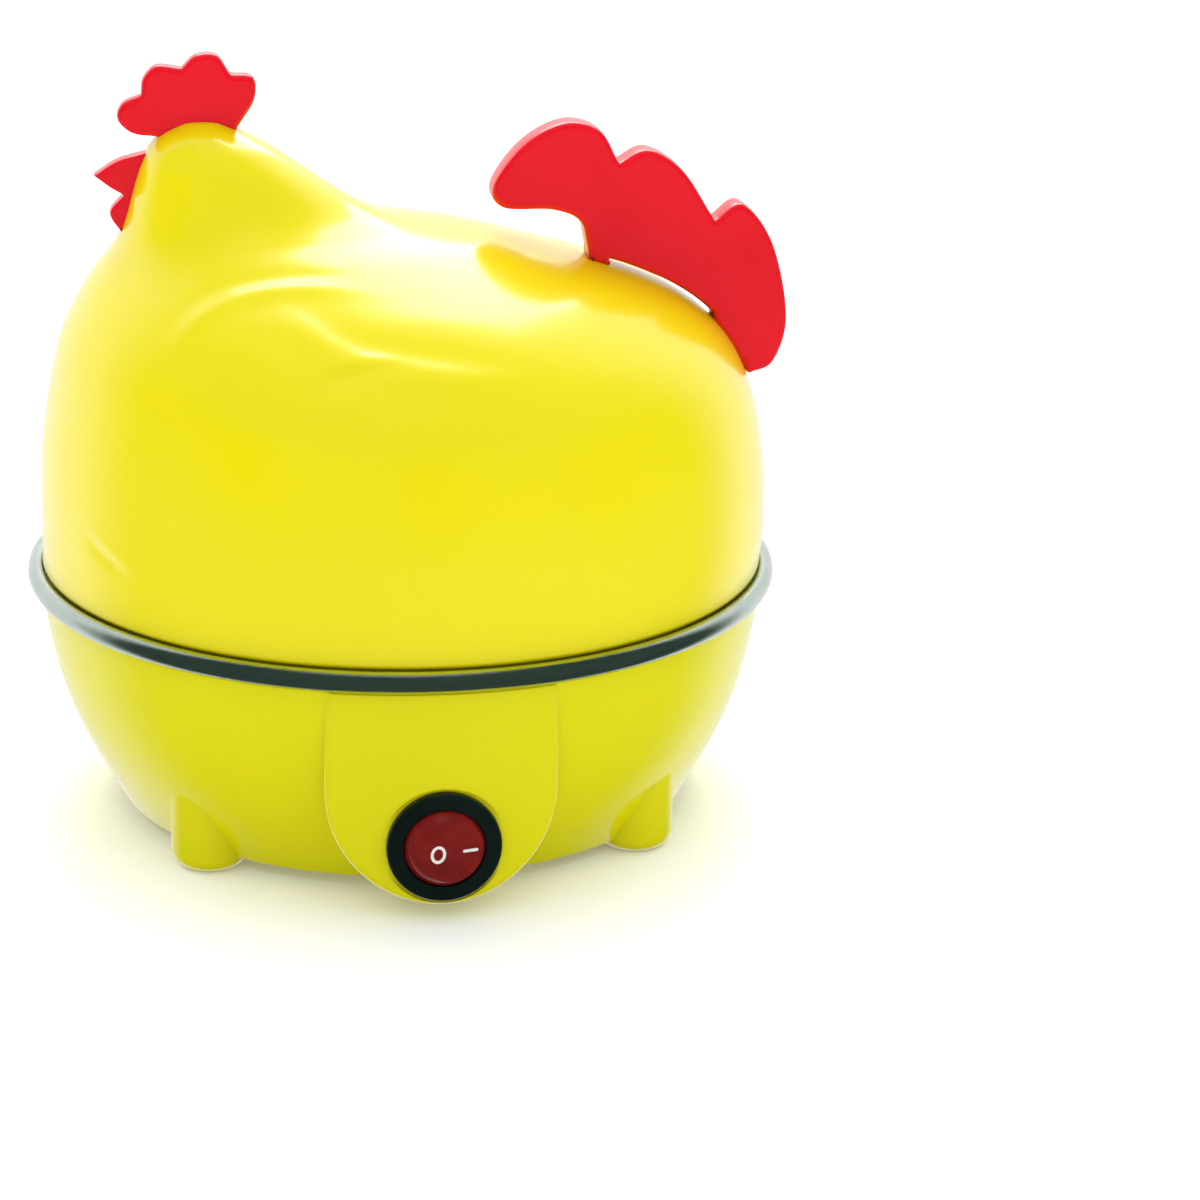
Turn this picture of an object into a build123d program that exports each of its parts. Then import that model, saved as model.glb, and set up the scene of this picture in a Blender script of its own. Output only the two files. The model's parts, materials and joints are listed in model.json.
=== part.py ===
from build123d import *
import math
import os

# Hen-shaped electric egg cooker, closed, standing on its four feet.
# Millimetres. +X runs from beak to tail, the switch faces -Y and Z is up.
# The origin is on the ground, on the axis of the round base.

os.makedirs("parts", exist_ok=True)

# Steel dish with a rolled rim
rim_radius = 80.0
rim_top = 53.1
sheet = 0.6
roll_radius = 1.9  # middle of the rolled sheet
roll_x = rim_radius - roll_radius - sheet / 2
roll_z = rim_top - roll_radius - sheet / 2
dish_wall_x = roll_x - roll_radius
dish_step_z = 44.7
dish_floor_z = 30.0
dish_floor_x = 52.0

# Base shell
wall = 2.2
base_bottom = 3.0
base_top = 48.5
ledge_z = 44.2
ledge_wall_x = 76.4
floor_top = 7.4
floor_opening = 47.0
cover_seat_z = 5.2
cover_seat_radius = 52.2
# Outside radius of the bowl at each height
bowl_points = [(62.0, 3.0), (64.7, 8.0), (70.7, 20.0), (74.6, 32.0), (76.8, 44.0), (77.5, 48.5)]

# Feet moulded into the base shell
foot_radius = 8.0
foot_spacing_x = 89.0
foot_spacing_y = 84.4
foot_height = 17.0

# Switch and its boss
switch_z = 16.0
boss_half_width = 23.3
boss_centre_z = base_bottom + boss_half_width
boss_radius = 77.6
boss_seat_y = -76.8
bezel_radius = 11.5
bezel_thickness = 1.8
panel_hole_radius = 10.1
housing_radius = 9.95
housing_back_y = -58.0
pivot_y = -74.6
rocker_ball = 8.8
rocker_gap = 0.25
rocker_tilt = 14.0  # either way from the middle
rocker_face = 6.25  # from the pivot
rocker_back = 4.0
pivot_pin_radius = 1.2
dish_of_face = 44.3
lamp_y = -66.3
lamp_radius = 1.6
lamp_length = 8.0

# Cord outlet
outlet_z = 14.0
pad_y = 71.0
outlet_bore = 3.4
gland_end_y = 80.5

# Egg tray
tray_radius = 74.4
tray_top = 50.3
tray_plate = 2.0
tray_skirt_bottom = 45.3
egg_seat_radius = 16.0
egg_circle = 46.5
steam_circle = 59.0
steam_angles = [60, 120, 240, 300]
lug_x = 66.0
lug_size = (8.0, 22.0, 28.5)

# Lid
lid_wall = 1.8
lid_drop = 1.3
lid_bottom = 53.3
lip_bottom = 51.2
lip_outside = 75.15
lip_inside = 73.5
lip_root = 76.2
lip_root_height = 3.4
# Level of the hen, front of the breast, widest station, end of the back, half width
hen_levels = [
    (lid_bottom, -76.85, 0.0, 76.85, 76.85),
    (62.0, -76.6, 0.3, 77.6, 77.1),
    (71.0, -76.5, 0.4, 77.4, 76.8),
    (80.0, -75.9, 0.0, 76.4, 75.6),
    (88.0, -74.7, -1.0, 74.7, 73.5),
    (95.5, -73.2, -2.5, 71.8, 70.0),
    (102.0, -71.5, -4.5, 67.4, 64.8),
    (108.5, -68.4, -8.0, 59.4, 57.4),
    (114.0, -65.2, -11.5, 47.8, 48.8),
    (118.0, -62.2, -16.0, 34.4, 40.6),
    (122.0, -59.3, -22.5, 20.4, 32.0),
    (125.5, -57.9, -31.0, 0.0, 25.0),
    (129.0, -56.8, -35.5, -8.8, 21.2),
    (133.0, -55.7, -37.5, -15.3, 18.6),
    (137.0, -54.4, -39.0, -21.2, 16.6),
    (141.0, -52.5, -40.5, -27.2, 14.0),
    (144.2, -49.4, -41.3, -33.2, 9.8),
    (146.2, -45.5, -41.5, -37.5, 4.6),
]
comb_thickness = 5.0
tail_thickness = 8.0
tail_gap = 1.3

# Heater below the dish
heater_radius = 34.0
element_circle = 26.0
element_tube = 3.3
element_z = 23.9
element_turn = 250.0
element_leg = 20.0
dish_underside = dish_floor_z - sheet / 2

# Dish mountings
column_circle = 53.5
column_angles = [60, 180, 300]
column_radius = 4.5
column_top = 24.0
cover_screw_circle = 49.5
cover_screw_angles = [0, 120, 240]

wire_radius = 1.1


def finish(part, name):
    """Label one sub-part and write it."""
    part.label = name
    export_step(part, f"parts/{name}.step")


def around(radius, angles):
    """Points on a circle about the origin."""
    return [
        (radius * math.cos(math.radians(a)), radius * math.sin(math.radians(a))) for a in angles
    ]


def hen_form(inset, drop):
    """Solid hen body, its sides moved in by inset and its top down by drop."""
    with BuildPart() as form:
        for height, breast, widest, back, half_width in hen_levels:
            with BuildSketch(Plane.XY.offset(height - drop)):
                with BuildLine():
                    width = half_width - inset
                    front = widest - breast - inset
                    rear = back - widest - inset
                    EllipticalCenterArc((widest, 0), front, width, 90, arc_size=180)
                    EllipticalCenterArc((widest, 0), rear, width, 270, arc_size=180)
                make_face()
        loft()
    return form.part


def screw(place, head_radius, head_height, shank_radius, length):
    """Pan-head screw whose head sits above the origin of place and whose shank goes below it."""
    with BuildPart() as one:
        with BuildSketch(place):
            Circle(head_radius)
        extrude(amount=head_height)
        fillet(one.edges().group_by(SortBy.LENGTH)[-1].sort_by(Axis(place.origin, place.z_dir))[-1],
               head_height * 0.45)
        with BuildSketch(place):
            Circle(shank_radius)
        extrude(amount=-length)
        with BuildSketch(place.offset(head_height)):
            Rectangle(head_radius * 1.2, head_height * 0.25)
            Rectangle(head_height * 0.25, head_radius * 1.2)
        extrude(amount=-head_height * 0.5, mode=Mode.SUBTRACT)
    return one.part


def wire(points, radii):
    """Insulated wire along straight runs joined by tangent arcs."""
    with BuildPart() as one:
        with BuildLine():
            route = FilletPolyline(*points, radius=radii)
        with BuildSketch(Plane(route @ 0, z_dir=route % 0)):
            Circle(wire_radius)
        sweep()
    ratio = one.part.volume / (math.pi * wire_radius**2 * route.length)
    print("wire length", round(route.length, 1), "radii", radii, "volume ratio", round(ratio, 4))
    return one.part


def tongue(half_width, front_radius, top, back_y):
    """U-shaped tongue behind a round front, from back_y to front_radius."""
    with BuildPart() as form:
        with BuildSketch(Plane.XZ.offset(-back_y)):
            with Locations((0, boss_centre_z)):
                Circle(half_width)
            with Locations((0, (boss_centre_z + base_top) / 2)):
                Rectangle(2 * half_width, base_top - boss_centre_z)
        extrude(amount=boss_radius)
        with BuildSketch(Plane.XY):
            Circle(front_radius)
        extrude(amount=top, mode=Mode.INTERSECT)
    return form.part


# Base shell: bowl with four feet, the switch boss and the cord outlet pad
with BuildPart() as switch_boss:
    add(tongue(boss_half_width, boss_radius, base_top - 0.4, 0))
    front = switch_boss.faces().sort_by(Axis.Y)[0]
    fillet(front.edges().sort_by(Axis.Z)[:-1], 2.2)

with BuildPart() as base_shell:
    with BuildSketch(Plane.XZ):
        with BuildLine():
            outside = Spline(*bowl_points)
            Polyline(outside @ 1, (0, base_top), (0, base_bottom), outside @ 0)
        make_face()
    revolve(axis=Axis.Z)
    add(switch_boss.part)
    with BuildSketch(Plane.XZ.offset(-pad_y)):
        with Locations((0, outlet_z)):
            RectangleRounded(20, 18, 4)
    extrude(amount=20)
    with BuildSketch(Plane.XY):
        with GridLocations(foot_spacing_x, foot_spacing_y, 2, 2):
            Circle(foot_radius)
    extrude(amount=foot_height)
    fillet(base_shell.faces().group_by(Axis.Z)[0].edges(), 3.4)
    # Inside of the bowl, boss and outlet pad
    with BuildSketch(Plane.XZ):
        with BuildLine():
            inside = Spline(*[(radius - wall, height) for radius, height in bowl_points[1:-1]])
            Polyline(inside @ 1, (74.6, ledge_z), (ledge_wall_x, ledge_z), (ledge_wall_x, base_top + 1),
                     (0, base_top + 1), (0, floor_top), (61.6, floor_top), inside @ 0)
        make_face()
    revolve(axis=Axis.Z, mode=Mode.SUBTRACT)
    add(tongue(boss_half_width - wall, boss_radius - wall, ledge_z - 2, -56), mode=Mode.SUBTRACT)
    with BuildSketch(Plane.XZ.offset(-(pad_y - wall))):
        with Locations((0, outlet_z)):
            Rectangle(15.6, 12.8)
    extrude(amount=16, mode=Mode.SUBTRACT)
    # Seat and opening of the bottom cover
    with BuildSketch(Plane.XY):
        Circle(floor_opening)
    extrude(amount=floor_top + 1, mode=Mode.SUBTRACT)
    with BuildSketch(Plane.XY.offset(base_bottom - 1)):
        Circle(cover_seat_radius)
    extrude(amount=cover_seat_z - base_bottom + 1, mode=Mode.SUBTRACT)
    # Columns for the dish screws and bosses for the cover screws
    with BuildSketch(Plane.XY.offset(floor_top - 1)):
        with Locations(*around(column_circle, column_angles)):
            Circle(column_radius)
    extrude(amount=column_top - floor_top + 1)
    with BuildSketch(Plane.XY.offset(floor_top - 1)):
        with Locations(*around(cover_screw_circle, cover_screw_angles)):
            Circle(3.0)
    extrude(amount=7)
    with BuildSketch(Plane.XY.offset(base_bottom - 1)):
        with Locations(*around(column_circle, column_angles)):
            Circle(3.1)
    extrude(amount=14, mode=Mode.SUBTRACT)
    with BuildSketch(Plane.XY.offset(base_bottom)):
        with Locations(*around(column_circle, column_angles)):
            Circle(1.6)
        with Locations(*around(cover_screw_circle, cover_screw_angles)):
            Circle(1.55)
    extrude(amount=column_top, mode=Mode.SUBTRACT)
    # Bezel seat, panel hole and the square seat of the cord gland
    with BuildSketch(Plane.XZ.offset(-boss_seat_y)):
        with Locations((0, switch_z)):
            Circle(bezel_radius + 0.7)
    extrude(amount=5, mode=Mode.SUBTRACT)
    with BuildSketch(Plane.XZ.offset(-boss_seat_y + 1)):
        with Locations((0, switch_z)):
            Circle(panel_hole_radius)
    extrude(amount=-6, mode=Mode.SUBTRACT)
    with BuildSketch(Plane.XZ.offset(-pad_y - 1)):
        with Locations((0, outlet_z)):
            Rectangle(10.4, 10.4)
    extrude(amount=8, mode=Mode.SUBTRACT)
finish(base_shell.part, "base_shell")

# Bottom cover with vent slots
with BuildPart() as bottom_cover:
    with BuildSketch(Plane.XY.offset(base_bottom)):
        Circle(cover_seat_radius - 0.4)
        with Locations(*around(cover_screw_circle, cover_screw_angles)):
            Circle(1.8, mode=Mode.SUBTRACT)
        with Locations(*around(column_circle, column_angles)):
            Circle(4.2, mode=Mode.SUBTRACT)
        with PolarLocations(24, 8):
            SlotOverall(16, 2.4, mode=Mode.SUBTRACT)
    extrude(amount=cover_seat_z - base_bottom - 0.1)
finish(bottom_cover.part, "bottom_cover")

cover_screws = Compound(
    children=[
        screw(Plane((x, y, base_bottom), z_dir=(0, 0, -1)), 2.8, 1.6, 1.5, 9)
        for x, y in around(cover_screw_circle, cover_screw_angles)
    ]
)
finish(cover_screws, "bottom_cover_screws")

# Heating dish: sheet steel with the rolled rim, the step for the tray and the water well
with BuildPart() as heating_dish:
    with BuildSketch(Plane.XZ):
        with BuildLine():
            profile = FilletPolyline(
                (0, dish_floor_z),
                (dish_floor_x, dish_floor_z),
                (dish_floor_x + 9, dish_step_z),
                (dish_wall_x, dish_step_z),
                (dish_wall_x, roll_z),
                radius=[6, 3, 1.2],
            )
            CenterArc((roll_x, roll_z), roll_radius, 180, -280)
        trace(line_width=sheet)
    revolve(axis=Axis.Z)
finish(heating_dish.part, "heating_dish")

# Steel straps below the dish, one over each column
with BuildPart() as dish_bracket:
    with BuildSketch(Plane.XZ):
        with BuildLine():
            FilletPolyline(
                (39, dish_underside - 0.5),
                (47.5, dish_underside - 0.5),
                (47.5, column_top + 0.5),
                (57, column_top + 0.5),
                radius=[1.2, 1.2],
            )
        trace(line_width=1.0)
    extrude(amount=5, both=True)
    with BuildSketch(Plane.XY.offset(column_top)):
        with Locations((column_circle, 0)):
            Circle(1.55)
    extrude(amount=1, mode=Mode.SUBTRACT)
dish_brackets = Compound(children=[Rot(0, 0, a) * dish_bracket.part for a in column_angles])
finish(dish_brackets, "dish_brackets")

dish_screws = Compound(
    children=[
        screw(Plane((x, y, 16), z_dir=(0, 0, -1)), 2.8, 1.8, 1.5, 12)
        for x, y in around(column_circle, column_angles)
    ]
)
finish(dish_screws, "dish_screws")

# Tubular heating element, open towards the switch
with BuildPart() as heater_element:
    start_angle = 270 + (360 - element_turn) / 2
    with BuildLine(Plane.XY.offset(element_z)) as element_line:
        turn = CenterArc((0, 0), element_circle, start_angle, element_turn)
        Line(turn @ 0 - (turn % 0) * element_leg, turn @ 0)
        Line(turn @ 1, turn @ 1 + (turn % 1) * element_leg)
    leg_start = turn @ 0 - (turn % 0) * element_leg
    with BuildSketch(Plane(leg_start, z_dir=turn % 0)):
        Circle(element_tube)
    sweep()
finish(heater_element.part, "heater_element")
leg_ends = [(leg_start, (turn % 0) * -1), (turn @ 1 + (turn % 1) * element_leg, turn % 1)]

with BuildPart() as heater_terminals:
    for end, along in leg_ends:
        with BuildSketch(Plane(end, z_dir=along)):
            Circle(2.4)
        extrude(amount=3)
        with BuildSketch(Plane(end + along * 3, x_dir=(0, 0, 1), z_dir=along)):
            Rectangle(0.8, 4.8)
        extrude(amount=7)
finish(heater_terminals.part, "heater_terminals")

# Aluminium plate cast round the element
with BuildPart() as heater_plate:
    with BuildSketch(Plane.XY.offset(dish_underside)):
        Circle(heater_radius)
        Circle(9.0, mode=Mode.SUBTRACT)
    extrude(amount=-2.5)
    with BuildSketch(Plane.XY.offset(element_z + 0.6)):
        Circle(element_circle + 4.2)
        Circle(element_circle - 4.2, mode=Mode.SUBTRACT)
    extrude(amount=dish_underside - 2.5 - element_z - 0.6)
    add(heater_element.part, mode=Mode.SUBTRACT)
    with BuildSketch(Plane.XY.offset(dish_underside - 2.5)):
        with Locations((-15, 0), (15, 0)):
            Circle(1.55)
    extrude(amount=1.5, mode=Mode.SUBTRACT)
finish(heater_plate.part, "heater_plate")

# Thermostat pressed against the dish by a strap
with BuildPart() as thermostat:
    with BuildSketch(Plane.XY.offset(dish_underside)):
        Circle(8.2)
    extrude(amount=-3.2)
    with BuildSketch(Plane.XY.offset(dish_underside - 3.2)):
        Circle(7.2)
    extrude(amount=-8.5)
    fillet(thermostat.edges().group_by(Axis.Z)[0], 0.8)
finish(thermostat.part, "thermostat")

with BuildPart() as thermostat_terminals:
    with BuildSketch(Plane.XY.offset(dish_underside - 11.7)):
        with Locations((0, -4.2), (0, 4.2)):
            Rectangle(4.8, 0.8)
    extrude(amount=-7)
finish(thermostat_terminals.part, "thermostat_terminals")

with BuildPart() as thermostat_strap:
    with BuildSketch(Plane.XY.offset(dish_underside - 4.2)):
        SlotOverall(38, 9)
        Circle(9.4)
        Circle(7.3, mode=Mode.SUBTRACT)
        with Locations((-15, 0), (15, 0)):
            Circle(1.6, mode=Mode.SUBTRACT)
    extrude(amount=1)
finish(thermostat_strap.part, "thermostat_strap")

strap_screws = Compound(
    children=[
        screw(Plane((x, 0, dish_underside - 4.2), z_dir=(0, 0, -1)), 2.6, 1.6, 1.5, 2.9)
        for x in (-15, 15)
    ]
)
finish(strap_screws, "thermostat_strap_screws")

# Thermal fuse in its sleeve, beside the heater plate
with BuildPart() as thermal_fuse:
    with BuildSketch(Plane.YZ.offset(-16)):
        with Locations((37.5, 26.4)):
            Circle(0.5)
    extrude(amount=32)
    with BuildSketch(Plane.YZ.offset(-6)):
        with Locations((37.5, 26.4)):
            Circle(1.9)
    extrude(amount=12)
finish(thermal_fuse.part, "thermal_fuse")

with BuildPart() as fuse_sleeve:
    with BuildSketch(Plane.YZ.offset(-13)):
        with Locations((37.5, 26.4)):
            Circle(2.7)
            Circle(2.1, mode=Mode.SUBTRACT)
    extrude(amount=26)
finish(fuse_sleeve.part, "fuse_sleeve")

# Terminal block on the floor of the base, beside the cord outlet
with BuildPart() as terminal_block:
    with BuildSketch(Plane.XY.offset(floor_top + 0.1)):
        with Locations((0, 53)):
            RectangleRounded(22, 10, 1.5)
    extrude(amount=9)
    with BuildSketch(Plane.XY.offset(floor_top + 9.1)):
        with Locations((-5.5, 53), (5.5, 53)):
            Circle(2.3)
    extrude(amount=-4, mode=Mode.SUBTRACT)
finish(terminal_block.part, "terminal_block")

block_screws = Compound(
    children=[
        screw(Plane((x, 53, floor_top + 7.0)), 2.0, 1.2, 1.2, 1.8) for x in (-5.5, 5.5)
    ]
)
finish(block_screws, "terminal_block_screws")

# Cord gland with its square neck held by the outlet pad
with BuildPart() as cord_gland:
    with BuildSketch(Plane.XZ.offset(-(pad_y - wall - 0.1))):
        with Locations((0, outlet_z)):
            RectangleRounded(13.4, 12.2, 2)
    extrude(amount=2)
    with BuildSketch(Plane.XZ.offset(-(pad_y - wall - 0.1))):
        with Locations((0, outlet_z)):
            Rectangle(10.2, 10.2)
    extrude(amount=-(wall + 0.2))
    with BuildSketch(Plane.XZ.offset(-(pad_y + 0.1))):
        with Locations((0, outlet_z)):
            Circle(6.6)
    extrude(amount=-(gland_end_y - pad_y - 0.1), taper=7)
    fillet(cord_gland.faces().sort_by(Axis.Y)[-1].edges(), 0.8)
    with BuildSketch(Plane.XZ.offset(-(pad_y - 8))):
        with Locations((0, outlet_z)):
            Circle(outlet_bore)
    extrude(amount=-(gland_end_y - pad_y + 12), mode=Mode.SUBTRACT)
finish(cord_gland.part, "cord_gland")

# Round rocker switch: housing with its bezel
with BuildPart() as switch_housing:
    with BuildSketch(Plane.XZ.offset(-boss_seat_y)):
        with Locations((0, switch_z)):
            Circle(bezel_radius)
    extrude(amount=bezel_thickness)
    fillet(switch_housing.faces().sort_by(Axis.Y)[0].edges(), 0.9)
    with BuildSketch(Plane.XZ.offset(-boss_seat_y)):
        with Locations((0, switch_z)):
            Circle(housing_radius)
    extrude(amount=boss_seat_y - housing_back_y)
    with BuildSketch(Plane.XZ.offset(-pivot_y)):
        with Locations((0, switch_z)):
            Circle(rocker_ball + rocker_gap)
    extrude(amount=pivot_y - housing_back_y - 1, mode=Mode.SUBTRACT)
    with Locations((0, pivot_y, switch_z)):
        Sphere(rocker_ball + rocker_gap, mode=Mode.SUBTRACT)
    with BuildSketch(Plane.XY.offset(switch_z)):
        with Locations((0, pivot_y)):
            Circle(pivot_pin_radius + 0.06)
    extrude(amount=housing_radius - 0.1, both=True, mode=Mode.SUBTRACT)
    # Bump on the left and right that snaps behind the panel
    with BuildSketch(Plane.XY.offset(switch_z)):
        for side in (-1, 1):
            with Locations((side * housing_radius, boss_seat_y + 4.2)):
                Rectangle(0.7, 2.0)
    extrude(amount=2.5, both=True)
finish(switch_housing.part, "switch_housing")

# Rocker: a ball on a vertical pivot with a dished face, its right side pressed in
with BuildPart() as rocker_button:
    with Locations((0, pivot_y, switch_z)):
        Sphere(rocker_ball)
    tilt = math.radians(rocker_tilt)
    outward = Vector(math.sin(tilt), -math.cos(tilt), 0)
    pivot = Vector(0, pivot_y, switch_z)
    split(bisect_by=Plane(pivot + outward * rocker_face, z_dir=outward), keep=Keep.BOTTOM)
    fillet(rocker_button.edges(), 0.6)
    with Locations(pivot + outward * (rocker_face + dish_of_face - 0.3)):
        Sphere(dish_of_face, mode=Mode.SUBTRACT)
    split(bisect_by=Plane.XZ.offset(-pivot_y - rocker_back), keep=Keep.TOP)
    with BuildSketch(Plane.XY.offset(switch_z)):
        with Locations((0, pivot_y)):
            Circle(pivot_pin_radius)
    extrude(amount=housing_radius - 0.3, both=True)
finish(rocker_button.part, "rocker_button")

with BuildPart() as switch_base:
    with BuildSketch(Plane.XZ.offset(-housing_back_y)):
        with Locations((0, switch_z)):
            Circle(rocker_ball + rocker_gap - 0.05)
    extrude(amount=2.5)
finish(switch_base.part, "switch_base")

with BuildPart() as switch_terminals:
    with BuildSketch(Plane.XZ.offset(-housing_back_y)):
        with Locations((-5, switch_z), (0, switch_z), (5, switch_z)):
            Rectangle(0.8, 4.8)
    extrude(amount=-7)
finish(switch_terminals.part, "switch_terminals")

with BuildPart() as switch_contact:
    with BuildSketch(Plane.XY.offset(switch_z - 2)):
        with BuildLine():
            Polyline((-6, -62.6), (0, -64.2), (6, -62.6))
        trace(line_width=0.6)
    extrude(amount=4)
finish(switch_contact.part, "switch_contact")

with BuildPart() as switch_lamp:
    with BuildSketch(Plane.YZ.offset(-lamp_length / 2)):
        with Locations((lamp_y, switch_z)):
            Circle(lamp_radius)
    extrude(amount=lamp_length)
    fillet(switch_lamp.edges(), 0.7)
finish(switch_lamp.part, "switch_lamp")

# Wires, from the block by the switch and the thermostat to the heater
wires = {
    "live_wire": ([(8, 47.8, 12), (8, 38, 11), (41, 22, 11), (41, -28, 12), (9, -42, 20),
                   (5, -50.8, 19.5)], [6, 10, 10, 8]),
    "switch_wire": ([(-5, -50.8, 16), (-5, -38, 14), (-5, -22, 9), (0, -10, 8), (0, -4.2, 9.6)],
                    [6, 6, 4]),
    "thermostat_wire": ([(0, 4.2, 9.6), (0, 12, 8), (-14, 24, 10), (-26, 33, 20), (-24, 37.5, 26.4),
                         (-16.2, 37.5, 26.4)], [5, 7, 6, 3]),
    "heater_wire": ([(16.2, 37.5, 26.4), (26, 37.5, 26), (38, 26, 20), (36, 0, 15), (25, -28, 15),
                     (7.2, -38.6, 21.5)], [5, 8, 10, 6]),
    "neutral_wire": ([(-7.2, -38.6, 21.5), (-22, -36, 13), (-40, -12, 10.5), (-38, 22, 10.5),
                      (-8, 40, 11), (-8, 47.8, 12)], [6, 10, 10, 4]),
}
for wire_name, (points, radii) in wires.items():
    finish(wire(points, radii), wire_name)

# Egg tray: plate with seven egg seats, six steam holes and two finger lugs
with BuildPart() as egg_tray:
    with BuildSketch(Plane.XY.offset(tray_top - tray_plate)):
        Circle(tray_radius)
    extrude(amount=tray_plate)
    fillet(egg_tray.edges().group_by(Axis.Z)[-1], 1.2)
    with BuildSketch(Plane.XY.offset(tray_skirt_bottom)):
        Circle(tray_radius)
        Circle(tray_radius - tray_plate, mode=Mode.SUBTRACT)
    extrude(amount=tray_top - tray_plate - tray_skirt_bottom)
    with BuildSketch(Plane.XY.offset(tray_top)):
        with Locations((-lug_x, 0), (lug_x, 0)):
            RectangleRounded(lug_size[0], lug_size[1], 2.5)
    extrude(amount=lug_size[2])
    fillet(egg_tray.faces().group_by(Axis.Z)[-1].edges(), 2.0)
    with BuildSketch(Plane.XY.offset(tray_skirt_bottom)):
        with Locations((-lug_x, 0), (lug_x, 0)):
            RectangleRounded(lug_size[0] - 3.2, lug_size[1] - 3.2, 1.2)
    extrude(amount=tray_top - tray_skirt_bottom + lug_size[2] - 2, mode=Mode.SUBTRACT)
    with BuildSketch(Plane.XY.offset(tray_top - tray_plate)) as seats:
        Circle(egg_seat_radius)
        with Locations(*around(egg_circle, [30, 90, 150, 210, 270, 330])):
            Circle(egg_seat_radius)
    extrude(amount=tray_plate, mode=Mode.SUBTRACT)
    with BuildSketch(Plane.XY.offset(tray_top - tray_plate)):
        for angle in steam_angles:
            with PolarLocations(steam_circle, 1, start_angle=angle):
                Ellipse(4.3, 8.8)
        with Locations((-lug_x + 6.2, 0), (lug_x - 6.2, 0)):
            Rectangle(3, lug_size[1] - 3)
    extrude(amount=tray_plate, mode=Mode.SUBTRACT)
finish(egg_tray.part, "egg_tray")

# Lid
hen_outside = hen_form(0, 0)
hen_inside = hen_form(lid_wall, lid_drop)
comb_tenon_x = [-48.5, -37.0]
beak_tenon_z = [127.5, 136.5]
tail_screw_planes = [
    Plane((41.0, 0, 114.15), x_dir=(0, 1, 0), z_dir=(-0.31, 0, -0.95)),
    Plane((70.2, 0, 93.4), x_dir=(0, 1, 0), z_dir=(-0.9, 0, -0.43)),
]

with BuildPart() as lid_shell:
    add(hen_outside)
    add(hen_inside, mode=Mode.SUBTRACT)
    with BuildSketch(Plane.XY.offset(lid_bottom)):
        Circle(lip_root)
        Circle(lip_inside, mode=Mode.SUBTRACT)
    extrude(amount=lip_root_height)
    with BuildSketch(Plane.XY.offset(lip_bottom)):
        Circle(lip_outside)
        Circle(lip_inside, mode=Mode.SUBTRACT)
    extrude(amount=lid_bottom - lip_bottom)
    with BuildSketch(Plane.XY.offset(130)):
        with Locations(*[(x, 0) for x in comb_tenon_x]):
            Rectangle(3.2, 2.6)
    extrude(amount=25, mode=Mode.SUBTRACT)
    with BuildSketch(Plane.YZ.offset(-70)):
        with Locations(*[(0, z) for z in beak_tenon_z]):
            Rectangle(2.6, 3.2)
    extrude(amount=22, mode=Mode.SUBTRACT)
    for place in tail_screw_planes:
        with BuildSketch(place):
            Circle(1.6)
        extrude(amount=-9, mode=Mode.SUBTRACT)
finish(lid_shell.part, "lid_shell")

# Comb: four lobes standing on the head
with BuildPart() as comb:
    with BuildSketch(Plane.XZ):
        with BuildLine():
            ThreePointArc((-50.5, 142.6), (-58.6, 147.8), (-53.6, 151.9))
            Spline((-53.6, 151.9), (-53.0, 155.4), (-50.2, 157.9), (-45.2, 157.4))
            Spline((-45.2, 157.4), (-42.4, 160.1), (-38.2, 160.2), (-35.4, 156.1))
            Spline((-35.4, 156.1), (-30.8, 155.4), (-30.6, 150.8), (-34.0, 145.3))
            Polyline((-34.0, 145.3), (-35.5, 141.0), (-48.5, 141.0), (-50.5, 142.6))
        make_face()
    extrude(amount=comb_thickness / 2, both=True)
    add(hen_outside, mode=Mode.SUBTRACT)
    with BuildSketch(Plane.XY.offset(140.0)):
        with Locations(*[(x, 0) for x in comb_tenon_x]):
            Rectangle(3.0, 2.4)
    extrude(amount=8)
finish(comb.part, "comb")

# Beak above the wattle, one moulding
with BuildPart() as beak_and_wattle:
    with BuildSketch(Plane.XZ):
        with BuildLine():
            Spline((-52.5, 140.3), (-58.6, 138.6), (-63.5, 135.6))
            Spline((-63.5, 135.6), (-60.4, 133.2), (-57.6, 131.5))
            Spline((-57.6, 131.5), (-60.5, 127.8), (-58.2, 123.6))
            Polyline((-58.2, 123.6), (-54.0, 125.0), (-52.5, 140.3))
        make_face()
    extrude(amount=comb_thickness / 2, both=True)
    add(hen_outside, mode=Mode.SUBTRACT)
    with BuildSketch(Plane.YZ.offset(-58.4)):
        with Locations(*[(0, z) for z in beak_tenon_z]):
            Rectangle(2.4, 3.0)
    extrude(amount=6)
finish(beak_and_wattle.part, "beak_and_wattle")

# Tail handle: three feather lobes on two feet, with a narrow gap to the lid between them
between_feet = Pos(54.6, 0, 110) * Box(22.8, 20, 60)
gap_below_tail = (Pos(0.9, 0, tail_gap) * hen_outside) & between_feet
with BuildPart() as tail_handle:
    with BuildSketch(Plane.XZ):
        with BuildLine():
            Spline((38.8, 119.0), (37.0, 124.8), (31.1, 127.3), (20.8, 127.9), (18.6, 132.5),
                   (24.9, 141.1), (33.5, 145.6), (40.9, 143.9), (45.1, 137.0))
            Spline((45.1, 137.0), (51.2, 139.7), (58.7, 135.3), (65.9, 124.5))
            Spline((65.9, 124.5), (71.8, 127.9), (78.6, 119.3), (82.2, 103.5), (79.6, 93.6),
                   (73.2, 90.9))
            Polyline((73.2, 90.9), (60.0, 90.9), (38.8, 108.0), (38.8, 119.0))
        make_face()
    extrude(amount=tail_thickness / 2, both=True)
    add(hen_outside, mode=Mode.SUBTRACT)
    add(gap_below_tail, mode=Mode.SUBTRACT)
    for place in tail_screw_planes:
        with BuildSketch(place):
            Circle(1.55)
        extrude(amount=-8.5, mode=Mode.SUBTRACT)
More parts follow.
